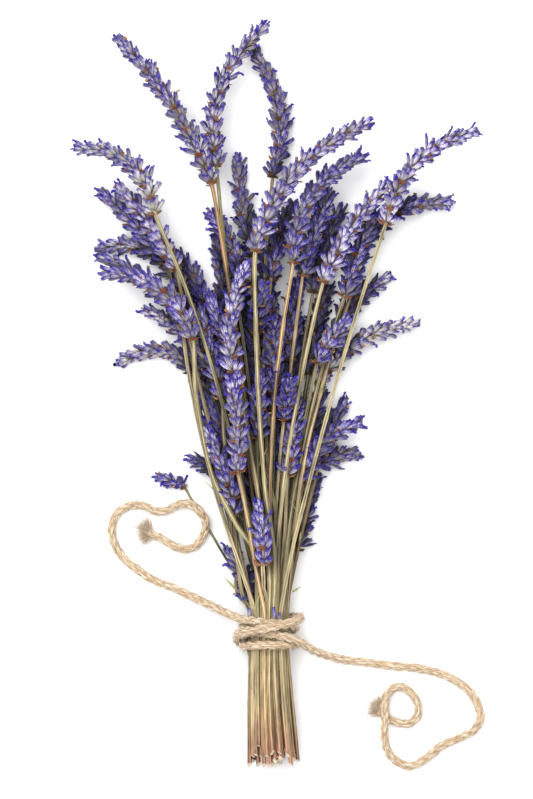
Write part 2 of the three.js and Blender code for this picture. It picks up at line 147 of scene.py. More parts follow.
# The free tails' routes in mm: place on the table from the middle of the tie, and the height of
# the twine's middle.
LEFT_TAIL = [
    (-8.4, 5.6, 22.9), (-14.4, 6.7, 19.2), (-20.5, 9.0, 14.0), (-27.0, 12.0, 8.8), (-33.5, 15.0, 5.3),
    (-40.0, 18.0, 3.1), (-46.3, 20.8, 2.2), (-57.1, 25.2, 2.2), (-65.4, 30.3, 2.2), (-73.0, 36.7, 2.2),
    (-77.5, 43.7, 2.2), (-79.1, 51.4, 2.2), (-76.2, 59.0, 2.2), (-69.9, 62.9, 2.2), (-62.8, 62.9, 2.2),
    (-57.1, 60.2, 2.2), (-51.5, 60.4, 2.4), (-46.3, 63.3, 3.5), (-39.9, 64.0, 4.9), (-34.8, 60.0, 4.9),
    (-31.8, 54.6, 4.1), (-32.9, 48.2, 2.8), (-36.7, 43.1, 2.2), (-41.8, 41.1, 2.2), (-47.5, 42.5, 2.2),
    (-52.6, 45.6, 2.2), (-57.7, 48.2, 2.2), (-60.5, 49.5, 2.2),
]
RIGHT_TAIL = [
    (4.3, -1.3, 25.0), (10.4, -2.8, 24.4), (15.8, -5.4, 20.9), (20.5, -8.4, 16.0), (25.5, -10.9, 10.8),
    (31.0, -12.8, 6.4), (38.9, -14.6, 3.2), (48.4, -15.7, 2.2), (61.0, -17.4, 2.2), (73.8, -18.7, 2.2),
    (85.3, -21.1, 2.2), (94.2, -25.3, 2.2), (101.2, -31.0, 2.2), (105.4, -38.7, 2.2), (106.0, -45.0, 2.2),
    (101.9, -50.8, 2.2), (92.9, -54.8, 2.2), (86.5, -57.8, 2.2), (81.4, -62.3, 2.2), (73.8, -67.2, 2.2),
    (68.5, -67.6, 2.2), (62.9, -64.4, 2.4), (59.3, -59.6, 3.4), (57.9, -51.4, 6.2), (58.3, -43.8, 7.1),
    (58.2, -36.2, 5.0), (60.3, -30.6, 3.0), (65.2, -28.0, 2.2), (70.6, -30.4, 2.2), (74.6, -36.1, 2.2),
    (74.6, -42.6, 2.2), (70.0, -46.6, 2.2), (63.9, -45.9, 2.2), (59.2, -43.3, 2.2), (55.5, -40.0, 2.2),
]

TIE_MIDDLE = (-4.32, -118.7, 0.0)  # in mm from the origin, on the table

# The tufts of the two frayed ends: angle from the twine's heading to the left, length, share.
TUFTS = (
    ((math.radians(-22), 9.5, 0.55), (math.radians(55), 7.5, 0.45)),
    ((math.radians(-40), 8.5, 0.5), (math.radians(25), 7.5, 0.5)),
)


# ---- Lines and frames ----

def unit(vectors):
    """The vectors scaled to a length of 1."""
    return vectors / np.maximum(np.linalg.norm(vectors, axis=-1, keepdims=True), 1e-9)


def turned(side, rise, angle):
    """The side vectors turned towards the rise vectors by the given angles."""
    return side * np.cos(angle)[..., None] + rise * np.sin(angle)[..., None]


def run_of(line):
    """Distance along a line at each of its points: the running sum of its steps."""
    return np.r_[0, np.cumsum(np.linalg.norm(np.diff(line, axis=0), axis=1))]


def at(line, run):
    """Places on a line at the given distances along it, by straight interpolation."""
    along = run_of(line)
    return np.column_stack([np.interp(run, along, line[:, k]) for k in range(3)])


def smooth_line(points, step):
    """A Catmull-Rom curve through the points, sampled evenly. Each span is the cubic of its two
    ends and their outer neighbours; the samples stand one step apart along the curve."""
    points = np.asarray(points, float)
    p = np.vstack([2 * points[0] - points[1], points, 2 * points[-1] - points[-2]])
    a, b, c, d = (p[i : len(p) - 3 + i, None] for i in range(4))
    u = np.linspace(0, 1, 16, endpoint=False)[None, :, None]
    fine = 2 * b + (c - a) * u + (2 * a - 5 * b + 4 * c - d) * u**2
    fine = 0.5 * (fine + (3 * b - a - 3 * c + d) * u**3)
    fine = np.vstack([fine.reshape(-1, 3), points[-1:]])
    length = run_of(fine)[-1]
    return at(fine, np.linspace(0, length, max(int(round(length / step)), 2) + 1))


def carried_frame(line, first):
    """Tangent, side and rise of a line at each point. The first side is carried along the line
    and squared to each new tangent, so that it never twists round it."""
    tangent = unit(np.gradient(line, axis=0))
    side = np.empty_like(line)
    held = np.asarray(first, float)
    for i, along in enumerate(tangent):
        held = unit(held - along * held.dot(along))
        side[i] = held
    return tangent, side, np.cross(tangent, side)


def spine(name):
    """The middle line of a CAD bar in mm, with its rings' radii. Corners at one place are joined.
    The pole of an end is the corner whose neighbours are all nearest to it. Counting edges out
    from that pole gives one ring of corners after another, and the line runs through the middles
    of the rings."""
    mesh = frame["nodes"][name].data
    corners = np.empty(len(mesh.vertices) * 3)
    mesh.vertices.foreach_get("co", corners)
    places, which = np.unique(
        np.round(corners.reshape(-1, 3) / MM, 2), axis=0, return_inverse=True
    )
    loops = np.empty(len(mesh.loops), int)
    mesh.loops.foreach_get("vertex_index", loops)
    triangles = which.ravel()[loops].reshape(-1, 3)
    start = np.hstack([triangles, triangles[:, [1, 2, 0]]]).ravel()
    end = np.hstack([triangles[:, [1, 2, 0]], triangles]).ravel()
    reach = np.zeros(len(places))
    np.maximum.at(reach, start, np.linalg.norm(places[start] - places[end], axis=1))
    level = np.full(len(places), -1)
    level[reach.argmin()] = 0
    ring = 0
    while (level < 0).any():
        level[end[(level[start] == ring) & (level[end] < 0)]] = ring + 1
        ring += 1
    middles = np.array([places[level == k].mean(axis=0) for k in range(1, ring)])
    radii = [np.linalg.norm(places[level == k + 1] - m, axis=1).mean() for k, m in enumerate(middles)]
    return middles, np.array(radii)


def cover_map(spines):
    """Height of the uppermost sprig over each square of the table: the largest value of
    z + sqrt(r^2 - d^2) over all points of the sprigs' lines, where d is the distance on the table
    from the point and r the radius there. Each square then takes the largest height within
    COVER_SPREAD of it, and the map is averaged over seven by seven squares."""
    top = np.zeros(COVER_SQUARES)
    brush = np.arange(-COVER_BRUSH, COVER_BRUSH + 1)
    dx, dy = np.meshgrid(brush, brush, indexing="ij")
    for rings, radii in spines:
        run = run_of(rings)
        places = np.arange(0, run[-1], 1.0)
        line = at(rings, places)
        radius = np.interp(places, run, radii)
        left = radius[:, None, None] ** 2 - dx ** 2 - dy ** 2
        height = np.where(left > 0, line[:, 2, None, None] + np.sqrt(np.maximum(left, 0)), 0)
        column = np.round(line[:, :2] - COVER_FIRST).astype(int)
        np.maximum.at(top, (column[:, 0, None, None] + dx, column[:, 1, None, None] + dy), height)
    for axis in (0, 1):
        top = np.max([np.roll(top, k, axis) for k in range(-COVER_SPREAD, COVER_SPREAD + 1)], axis=0)
    for axis in (0, 1):
        top = np.mean([np.roll(top, k, axis) for k in range(-3, 4)], axis=0)
    return top


# ---- Skins: meshes made of closed tubes ----

class Skin:
    """Gathers closed tubes and makes one mesh of them."""

    def __init__(self):
        self.places, self.faces, self.sizes = [], [], []
        self.maps, self.tints, self.finishes = [], [], []
        self.count = 0

    def add(self, grid, first, last, along, tint, finish):
        """Adds a batch of tubes. grid is tube x ring x side x 3, with the sides turning from the
        side vector to the rise vector about the tangent; first and last are the poles that close
        the ends. along is the second map coordinate of each ring, tint one number for each tube
        and finish the number of the material."""
        tubes, rings, sides, _ = grid.shape
        each = rings * sides + 2
        stack = np.concatenate([first[:, None], grid.reshape(tubes, -1, 3), last[:, None]], axis=1)
        i, j = np.meshgrid(np.arange(rings - 1), np.arange(sides), indexing="ij")
        k = (j + 1) % sides
        quads = np.stack([i * sides + j, i * sides + k, (i + 1) * sides + k, (i + 1) * sides + j], -1)
        quads = quads.reshape(-1, 4) + 1
        side = np.arange(sides)
        after = (side + 1) % sides
        top = (rings - 1) * sides + 1
        low = np.stack([np.zeros_like(side), after + 1, side + 1], -1)
        high = np.stack([np.full_like(side, each - 1), side + top, after + top], -1)
        faces = np.concatenate([quads.ravel(), low.ravel(), high.ravel()])
        offset = self.count + each * np.arange(tubes)[:, None]
        self.places.append(stack.reshape(-1, 3))
        self.faces.append((faces[None] + offset).ravel())
        sizes = np.r_[np.full(len(quads), 4), np.full(2 * sides, 3)]
        self.sizes.append(np.tile(sizes, tubes))
        self.finishes.append(np.full(tubes * len(sizes), finish))
        self.tints.append(np.repeat(np.broadcast_to(tint, tubes), each))
        along = np.broadcast_to(along, (tubes, rings))
        round_quads = np.stack([j, j + 1, j + 1, j], -1).ravel()
        round_low = np.stack([side + 0.5, side + 1, side], -1).ravel()
        round_high = np.stack([side + 0.5, side, side + 1], -1).ravel()
        round_share = np.concatenate([round_quads, round_low, round_high]) / sides
        ring_of = np.stack([i, i, i + 1, i + 1], -1).ravel()
        ring_of = np.r_[ring_of, np.zeros(3 * sides, int), np.full(3 * sides, rings - 1)]
        along = along[:, ring_of]
        self.maps.append(np.stack([np.broadcast_to(round_share, along.shape), along], -1).reshape(-1, 2))
        self.count += tubes * each

    def sweep(self, line, radii, sides, along, tint, first_side):
        """Adds one round tube along a line, with its radius at each point of the line."""
        _, side, rise = carried_frame(line, first_side)
        turn = 2 * np.pi * np.arange(sides)[None] / sides
        ring = turned(side[:, None], rise[:, None], turn)
        grid = (line[:, None] + radii[:, None, None] * ring)[None]
        self.add(grid, line[None, 0], line[None, -1], along, tint, 0)

    def press_flat(self, height=0.12):
        """Lifts whatever lies under the table's surface up to it, as if pressed flat there."""
        for places in self.places:
            places[:, 2] = np.maximum(places[:, 2], height)

    def piece(self, name, materials, cover=None):
        """One object of all the tubes, in metres, with its map and tints. With a map of the
        sprigs' heights, each corner also gets its depth in mm under the uppermost ones."""
        mesh = bpy.data.meshes.new(name)
        places = np.concatenate(self.places)
        if cover is not None:
            column = np.round(places[:, :2] - COVER_FIRST).astype(int)
            depths = (cover[column[:, 0], column[:, 1]] - places[:, 2]).astype(np.float32)
        places = places * MM
        loops = np.concatenate(self.faces)
        sizes = np.concatenate(self.sizes)
        mesh.vertices.add(len(places))
        mesh.vertices.foreach_set("co", places.astype(np.float32).ravel())
        mesh.loops.add(len(loops))
        mesh.loops.foreach_set("vertex_index", loops.astype(np.int32))
        mesh.polygons.add(len(sizes))
        mesh.polygons.foreach_set("loop_start", np.r_[0, np.cumsum(sizes)[:-1]].astype(np.int32))
        mesh.polygons.foreach_set("material_index", np.concatenate(self.finishes).astype(np.int32))
        mesh.polygons.foreach_set("use_smooth", np.ones(len(sizes), bool))
        mesh.update(calc_edges=True)
        skin_map = mesh.uv_layers.new(name="Skin")
        skin_map.data.foreach_set("uv", np.concatenate(self.maps).astype(np.float32).ravel())
        if cover is not None:
            depth = mesh.attributes.new("depth", "FLOAT", "POINT")
            depth.data.foreach_set("value", depths)
        tint = mesh.attributes.new("tint", "FLOAT", "POINT")
        tint.data.foreach_set("value", np.concatenate(self.tints).astype(np.float32))
        for material in materials:
            mesh.materials.append(material)
        made = bpy.data.objects.new(name, mesh)
        bpy.context.scene.collection.objects.link(made)
        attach(made, "root")
        return made


# ---- Materials ----

def linear(colour):
    """A linear colour from an sRGB hex value."""
    parts = [int(colour[i : i + 2], 16) / 255 for i in (1, 3, 5)]
    return [p / 12.92 if p <= 0.04045 else ((p + 0.055) / 1.055) ** 2.4 for p in parts] + [1.0]


def add(tree, kind, links=None, stops=None, **settings):
    """Adds a shader node. settings are its own properties; links fills its sockets: a node's first
    output in use or a given output is linked, anything else is set; stops are a ramp's places
    and colours."""
    made = tree.nodes.new("ShaderNode" + kind)
    for key, value in settings.items():
        setattr(made, key, value)
    for socket, value in (links or {}).items():
        if isinstance(value, bpy.types.Node):
            value = next(output for output in value.outputs if output.enabled)
        if isinstance(value, bpy.types.NodeSocket):
            tree.links.new(value, made.inputs[socket])
        else:
            made.inputs[socket].default_value = value
    if stops:
        ramp = made.color_ramp.elements
        while len(ramp) < len(stops):
            ramp.new(0.5)
        for element, (place, colour) in zip(ramp, stops):
            element.position = place
            element.color = linear(colour)
    return made


def start_material(name):
    """A material without nodes, and its tree."""
    material = bpy.data.materials.new(name)
    material.use_nodes = True
    material.node_tree.nodes.clear()
    return material, material.node_tree


def finish_material(material, colour, height=None, strength=0.0, relief=RELIEF, **shader_values):
    """Adds the material's one Principled shader with its colour and, if a height map is given, a
    relief of so many mm."""
    tree = material.node_tree
    values = {key.replace("_", " "): value for key, value in shader_values.items()}
    values["Base Color"] = colour
    if height is not None:
        values["Normal"] = add(tree, "Bump", {
            "Strength": strength, "Distance": relief * MM, "Height": height})
    add(tree, "OutputMaterial", {"Surface": add(tree, "BsdfPrincipled", values)})
    return material


def skin_coordinates(tree):
    """The two map coordinates and the tint of a tube, and the place in the object."""
    skin = add(tree, "UVMap", uv_map="Skin")
    split = add(tree, "SeparateXYZ", {0: skin})
    tint = add(tree, "Attribute", attribute_name="tint")
    place = add(tree, "TexCoord").outputs["Object"]
    return split.outputs[0], split.outputs[1], tint.outputs["Fac"], place


def drawn_fibres(tree, coordinates, scales):
    """Noise over the two map coordinates and the tint, each scaled: fibres that run along a tube
    and differ from tube to tube."""
    scaled = [add(tree, "Math", {0: value, 1: scale}, operation="MULTIPLY")
              for value, scale in zip(coordinates, scales)]
    spot = add(tree, "CombineXYZ", dict(enumerate(scaled)))
    return add(tree, "TexNoise", {"Vector": spot, "Scale": 1.0, "Detail": 4.0, "Roughness": 0.7})


def with_painted_shade(tree, colour, shade, depths, darkest):
    """The colour times the shade. What lies deep in the bunch is painted darker as shade: there
    the colour is also scaled from 1 at the first of the two depths to the darkest share at the
    second."""
    depth = add(tree, "Attribute", attribute_name="depth")
    depth_shade_scale = add(tree, "MapRange", {
        "Value": depth.outputs["Fac"], "From Min": depths[0], "From Max": depths[1],
        "To Min": 1.0, "To Max": darkest})
    scale = add(tree, "Math", {0: shade, 1: depth_shade_scale}, operation="MULTIPLY")
    return add(tree, "VectorMath", {0: colour, "Scale": scale}, operation="SCALE")


def calyx_material(name, tone):
    """Dried calyx: a ribbed tube, greenish cream at the foot, with pale down on its back and deep
    violet on its flanks and its mouth. Painted shade darkens its side towards the stem, its foot
    and the calyces that lie deep in the bunch. The back is where the way round is near 0 or 1."""
    material, tree = start_material(f"downy dried calyx {name.split('_')[1]}")
    around, along, tint, place = skin_coordinates(tree)
    turn = add(tree, "Math", {0: around, 1: 2 * math.pi}, operation="MULTIPLY")
    # the back is paler for its grey down; the side towards the stem is darker, as painted shade
    back = add(tree, "Math", {0: turn}, operation="COSINE")
    # seven ribs show where a real calyx has thirteen, so that they can be seen
    ribs = add(tree, "Math", {0: turn, 1: 7.0}, operation="MULTIPLY")
    ribs = add(tree, "Math", {0: ribs}, operation="COSINE")
    # painted shade: calyces deep under the uppermost sprigs shift towards dark violet
    depth = add(tree, "Attribute", attribute_name="depth")
    deep_painted_shade = add(tree, "MapRange", {
        "Value": depth.outputs["Fac"], "From Min": FLOWER_SHADE_DEPTHS[0], "From Max": FLOWER_SHADE_DEPTHS[1]})
    down = add(tree, "TexNoise", {"Vector": place, "Scale": 1 / (0.8 * MM), **GRAIN})
    for part, share in ((back, 0.21), (ribs, 0.13), (tint, 0.26), (along, -0.36), (deep_painted_shade, -0.2)):
        down = add(tree, "Math", {0: part, 1: share, 2: down}, operation="MULTIPLY_ADD")
    down = add(tree, "MapRange", {"Value": down, "From Min": 0.2, "From Max": 0.8})
    stops = list(zip((0.0, 0.34, 0.64, 1.0), tone["calyx"]))
    hue = add(tree, "ValToRGB", {"Fac": down}, stops=stops)
    foot = add(tree, "MapRange", {
        "Value": along, "From Min": 0.0, "From Max": 0.5, "To Min": 0.75, "To Max": 0.0})
    # the cream foot shows only towards the back; towards the stem it stays dark, as painted shade
    foot = add(tree, "Math", {0: foot, 1: back}, operation="MULTIPLY", use_clamp=True)
    pale_foot = add(tree, "MapRange", {"Value": tint, "From Min": 0.9, "From Max": 1.5})
    foot_hue = add(tree, "Mix", {
        "Factor": pale_foot, "A": linear("#A09A80"), "B": linear("#D6D6B4")}, data_type="RGBA")
    hue = add(tree, "Mix", {"Factor": foot, "A": hue, "B": foot_hue}, data_type="RGBA")
    aged = add(tree, "TexNoise", {"Vector": place, "Scale": 1 / (14.0 * MM), **GRAIN})
    aged = add(tree, "MapRange", {
        "Value": aged, "From Min": 0.46, "From Max": 0.62, "To Min": 0.0, "To Max": 0.62})
    hue = add(tree, "Mix", {"Factor": aged, "A": hue, "B": linear("#757064")}, data_type="RGBA")
    mouth = add(tree, "MapRange", {
        "Value": along, "From Min": 0.74, "From Max": 0.95, "To Min": 0.0, "To Max": 0.6})
    hue = add(tree, "Mix", {"Factor": mouth, "A": hue, "B": linear("#463AA8")}, data_type="RGBA")
    # painted shade: the calyx is darker towards its foot, deep in the whorl, less so where its foot is
    # pale
    foot_painted_shade = add(tree, "MapRange", {
        "Value": pale_foot, "From Min": 0.0, "From Max": 1.0, "To Min": 0.2, "To Max": 0.6})
    shade = add(tree, "MapRange", {
        "Value": along, "From Min": 0.0, "From Max": 0.5, "To Min": foot_painted_shade, "To Max": 0.86})
    # painted shade: darker where the calyx lies deep under the uppermost sprigs
    lit = with_painted_shade(tree, hue, shade, FLOWER_SHADE_DEPTHS, 0.42)
    down = add(tree, "TexNoise", {"Vector": place, "Scale": 1 / (0.3 * MM), **SMOOTH_GRAIN})
    height = add(tree, "Math", {0: ribs, 1: 0.6, 2: down}, operation="MULTIPLY_ADD")
    return finish_material(material, lit, height, 0.7, Roughness=0.78, Sheen_Weight=0.05,
                           Sheen_Roughness=0.5, IOR=1.4)


def corolla_material():
    """Withered petals: thin, crumpled and deep blue-violet, or tan where they have died off."""
    material, tree = start_material("withered lavender petals")
    _, along, tint, place = skin_coordinates(tree)
    hue = add(tree, "ValToRGB", {"Fac": tint}, stops=[
        (0.0, "#241894"), (0.4, "#3628A6"), (0.72, "#4A3CAC"), (0.88, "#6A5CB4"), (0.92, "#94603E"),
        (1.0, "#A87A54")])
    spots = add(tree, "TexNoise", {"Vector": place, "Scale": 1 / (0.5 * MM), **GRAIN})
    tone = add(tree, "Math", {0: along, 1: 0.35, 2: spots}, operation="MULTIPLY_ADD")
    shade = add(tree, "MapRange", {
        "Value": tone, "From Min": 0.3, "From Max": 1.0, "To Min": 0.56, "To Max": 1.1})
    # painted shade: darker where the corolla lies deep under the uppermost sprigs
    lit = with_painted_shade(tree, hue, shade, FLOWER_SHADE_DEPTHS, 0.3)
    crumple = add(tree, "TexNoise", {"Vector": place, "Scale": 1 / (0.35 * MM), **GRAIN})
    return finish_material(material, lit, crumple, 0.8, Roughness=0.6, IOR=1.4)


def bract_material():
    """Papery bract: thin dry scale, rust-brown with darker veins and a paler edge."""
    material, tree = start_material("papery rust-brown bract")
    around, along, tint, place = skin_coordinates(tree)
    hue = add(tree, "ValToRGB", {"Fac": along}, stops=[
        (0.0, "#A0684A"), (0.35, "#A25638"), (0.75, "#944A30"), (1.0, "#C88E66")])
    pale = add(tree, "Mix", {"Factor": tint, "A": hue, "B": linear("#C09A78")}, data_type="RGBA")
    veins = add(tree, "Math", {0: around, 1: 12 * math.pi}, operation="MULTIPLY")
    veins = add(tree, "Math", {0: veins}, operation="SINE")
    blotches = add(tree, "TexNoise", {"Vector": place, "Scale": 1 / (0.8 * MM), **GRAIN})
    shade = add(tree, "Math", {0: veins, 1: 0.2, 2: blotches}, operation="MULTIPLY_ADD")
    shade = add(tree, "MapRange", {
        "Value": shade, "From Min": 0.1, "From Max": 0.95, "To Min": 0.48, "To Max": 1.1})
    # painted shade: darker where the bract lies deep under the uppermost sprigs
    lit = with_painted_shade(tree, pale, shade, FLOWER_SHADE_DEPTHS, 0.25)
    return finish_material(material, lit, veins, 0.5, 0.1, Roughness=0.7, IOR=1.45)


def stem_material():
    """Dried stem: straw-like and dull, olive to tan to pinkish brown from stem to stem and
    red-brown towards the cut end. Fine light and dark fibres run along it, and the four hollow
    sides are painted darker than the ridges, as shade in the grooves. Stems deep in the bunch are
    painted darker as shade too. The cut face is pale pith."""
    material, tree = start_material("dried lavender stem")
    around, along, tint, place = skin_coordinates(tree)
    hue = add(tree, "ValToRGB", {"Fac": tint}, stops=[
        (0.0, "#847F58"), (0.22, "#A69974"), (0.5, "#D6C29C"), (0.8, "#C4A67C"), (1.0, "#A8865F")])
    low = add(tree, "MapRange", {"Value": along, "From Min": 0.0, "From Max": 80.0})
    low = add(tree, "ValToRGB", {"Fac": low}, stops=[
        (0.0, "#EEEEEE"), (0.12, "#CACACA"), (0.3, "#828282"), (0.6, "#5A5A5A"), (1.0, "#000000")])
    red = add(tree, "MapRange", {"Value": along, "From Min": 8.0, "From Max": 26.0})
    red = add(tree, "Mix", {
        "Factor": red, "A": linear("#A4705A"), "B": linear("#B2895A")}, data_type="RGBA")
    aged = add(tree, "Mix", {"Factor": low, "A": hue, "B": red}, data_type="RGBA")
    # the noise is drawn out along the stem, to about twenty times its width
    fibres = drawn_fibres(tree, (around, along, tint), (9.0, 0.07, 40.0))
    # painted shade: the four hollow sides are darker than the ridges
    sides = add(tree, "Math", {0: around, 1: 8 * math.pi}, operation="MULTIPLY")
    sides = add(tree, "Math", {0: sides}, operation="COSINE")
    blotches = add(tree, "TexNoise", {"Vector": place, "Scale": 1 / (7.0 * MM), **SMOOTH_GRAIN})
    mixed = add(tree, "Math", {0: blotches, 1: 0.12, 2: fibres}, operation="MULTIPLY_ADD")
    mixed = add(tree, "Math", {0: sides, 1: 0.09, 2: mixed}, operation="MULTIPLY_ADD")
    shade = add(tree, "MapRange", {
        "Value": mixed, "From Min": 0.33, "From Max": 0.78, "To Min": 0.16, "To Max": 1.62})
    # painted shade: darker where the stem lies deep under the uppermost sprigs
    lit = with_painted_shade(tree, aged, shade, STEM_SHADE_DEPTHS, 0.36)
    cut = add(tree, "Math", {0: along, 1: -0.05}, operation="LESS_THAN")
    faced = add(tree, "Mix", {"Factor": cut, "A": lit, "B": linear("#D4C4AE")}, data_type="RGBA")
    return finish_material(material, faced, fibres, 0.6, Roughness=0.7, IOR=1.45)


def leaf_material():
    """Dried linear leaf: grey-green, matt, with a soft down."""
    material, tree = start_material("dried grey-green leaf")
    _, along, _, place = skin_coordinates(tree)
    hue = add(tree, "ValToRGB", {"Fac": along}, stops=[
        (0.0, "#8B804F"), (0.5, "#9D9F65"), (1.0, "#B1A67B")])
    shade = add(tree, "TexNoise", {"Vector": place, "Scale": 1 / (1.2 * MM), **GRAIN})
    shade = add(tree, "MapRange", {
        "Value": shade, "From Min": 0.3, "From Max": 0.7, "To Min": 0.75, "To Max": 1.2})
    lit = add(tree, "VectorMath", {0: hue, "Scale": shade}, operation="SCALE")
    return finish_material(material, lit, Roughness=0.8, Sheen_Weight=0.2, IOR=1.4)


def jute_material():
    """Jute yarn: coarse pale bast fibres drawn out along each yarn, some brown, most cream to
    straw-coloured, matt and hairy."""
    material, tree = start_material("three-ply jute twine")
    around, along, tint, _ = skin_coordinates(tree)
    fibres = drawn_fibres(tree, (around, along, tint), (5.0, 0.22, 60.0))
    hue = add(tree, "ValToRGB", {"Fac": fibres}, stops=[
        (0.3, "#735130"), (0.42, "#B1916C"), (0.53, "#D6C5AA"), (0.66, "#E7E3D9")])
    # one yarn in a few is clearly browner than the others
    yarn = add(tree, "Math", {0: tint, 1: 97.0}, operation="MULTIPLY")
    yarn = add(tree, "Math", {0: yarn}, operation="SINE")
    yarn = add(tree, "MapRange", {
        "Value": yarn, "From Min": -1.0, "From Max": 0.3, "To Min": 0.55, "To Max": 0.0})
    toned = add(tree, "Mix", {"Factor": yarn, "A": hue, "B": linear("#987346")}, data_type="RGBA")
    return finish_material(material, toned, fibres, 0.7, Roughness=0.85, Sheen_Weight=0.2,
                           Sheen_Roughness=0.6, IOR=1.45)


def table_material():
    """White matt card, with a barely visible unevenness in its tone."""
    material, tree = start_material("white matt card")
    place = add(tree, "TexCoord").outputs["Object"]
    cloud = add(tree, "TexNoise", {"Vector": place, "Scale": 1 / (60.0 * MM), **SMOOTH_GRAIN})
    hue = add(tree, "ValToRGB", {"Fac": cloud}, stops=[(0.3, "#F6F6F6"), (0.7, "#FAFAFA")])
    return finish_material(material, hue, Roughness=0.9)


# ---- The parts of a sprig ----

STEM, CALYX, BRACT, COROLLA, LEAF = range(5)


def shell_grid(base, axis, out, length, half_widths, ring_along, turn, bend):
    """Tubes that grow from base along axis and bend back by bend x length x t squared against
    out. half_widths is tube x ring x side x 2: how far each corner stands towards out and towards
    axis x out; a ring's corners are at t = ring_along of the length."""
    side = np.cross(axis, out)
    t = ring_along[None, :, None]
    middle = base[:, None] + axis[:, None] * (length[:, None, None] * t)
    middle = middle - out[:, None] * (bend * length)[:, None, None] * t**2
    reach = half_widths * np.stack([np.cos(turn), np.sin(turn)], -1)[None, None]
    corners = middle[:, :, None] + out[:, None, None] * reach[..., :1]
    return corners + side[:, None, None] * reach[..., 1:]


def add_calyces(skin, rng, base, axis, out, length, width, tint):
    """Calyces: tubes that swell to two thirds of their length, narrow a little to a toothed mouth
    and turn in again to a dark hollow. The teeth lift every other corner of the mouth."""
    t = np.array([0.0, 0.2, 0.5, 0.78, 0.95, 1.0, 0.88])
    swell = np.array([0.4, 0.66, 0.92, 1.0, 0.86, 0.74, 0.42])
    turn = 2 * np.pi * np.arange(CALYX_SIDES) / CALYX_SIDES
    count = len(base)
    uneven = 1 + 0.09 * rng.standard_normal((count, 1, CALYX_SIDES))
    half = (width / 2)[:, None, None] * swell[None, :, None] * uneven
    bend = rng.uniform(0.0, 0.2, count)
    grid = shell_grid(base, axis, out, length, np.stack([half, half], -1), t, turn, bend)
    teeth = 0.07 * np.cos(CALYX_SIDES / 2 * turn)
    grid[:, 5] += axis[:, None] * (length[:, None, None] * teeth[None, :, None])
    mouth = grid[:, 5].mean(axis=1)
    foot = base - axis * (0.03 * length)[:, None]
    hollow = mouth - axis * (0.3 * length)[:, None]
    skin.add(grid, foot, hollow, np.array([0, 0.2, 0.5, 0.78, 0.95, 1.0, 1.0]), tint, CALYX)
    return mouth


def add_corollas(skin, rng, mouth, axis, out, tint):
    """Withered corollas: crumpled buds that leave the mouth of a calyx, widest near their end.
    Every corner is shifted at random by up to a fifth of the bud's width."""
    count = len(mouth)
    t = np.array([-0.15, 0.25, 0.6, 0.88])
    swell = np.array([0.4, 0.62, 1.0, 0.72])
    turn = 2 * np.pi * np.arange(6) / 6
    length = COROLLA_LENGTH * rng.uniform(0.55, 1.15, count)
    width = COROLLA_WIDTH * rng.uniform(0.7, 1.25, count)
    flat = rng.uniform(0.45, 1.0, (count, 1, 1))
    half = (width / 2)[:, None, None] * swell[None, :, None] * np.ones((1, 1, 6))
    lean = unit(axis + 0.3 * rng.standard_normal((count, 3)))
    out = unit(out - lean * (out * lean).sum(1, keepdims=True))
    grid = shell_grid(
        mouth, lean, out, length, np.stack([half, half * flat], -1), t, turn,
        rng.uniform(-0.5, 0.4, count),
    )
    grid = grid + 0.12 * width[:, None, None, None] * rng.standard_normal(grid.shape)
    middle = grid[:, -1].mean(axis=1)
    skin.add(grid, mouth - axis * 0.9, middle + lean * (0.18 * length)[:, None],
             np.array([0, 0.3, 0.6, 1.0]), tint, COROLLA)


def add_blades(skin, base, axis, out, length, width, cup, bend, tint, finish):
    """Thin closed blades, for bracts and leaves: the width follows the sine of a power of the
    length, so that it is broadest below the middle and ends in a point, and the edges curl back
    against out by cup times the square of their distance from the midrib."""
    t = np.array([0.0, 0.18, 0.4, 0.65, 0.88])
    broad = np.sin(np.pi * (0.12 + 0.88 * t) ** 0.75)
    turn = 2 * np.pi * np.arange(8) / 8
    across = (width / 2)[:, None, None] * broad[None, :, None] * np.ones((1, 1, 8))
    thick = np.full_like(across, 0.09)
    grid = shell_grid(base, axis, out, length, np.stack([thick, across], -1), t, turn, bend)
    sideways = across * np.sin(turn)[None, None]
    grid = grid - out[:, None, None] * (cup[:, None, None] * sideways**2)[..., None]
    tip = base + axis * length[:, None] - out * (bend * length)[:, None]
    skin.add(grid, base - axis * 0.2, tip, t, tint, finish)


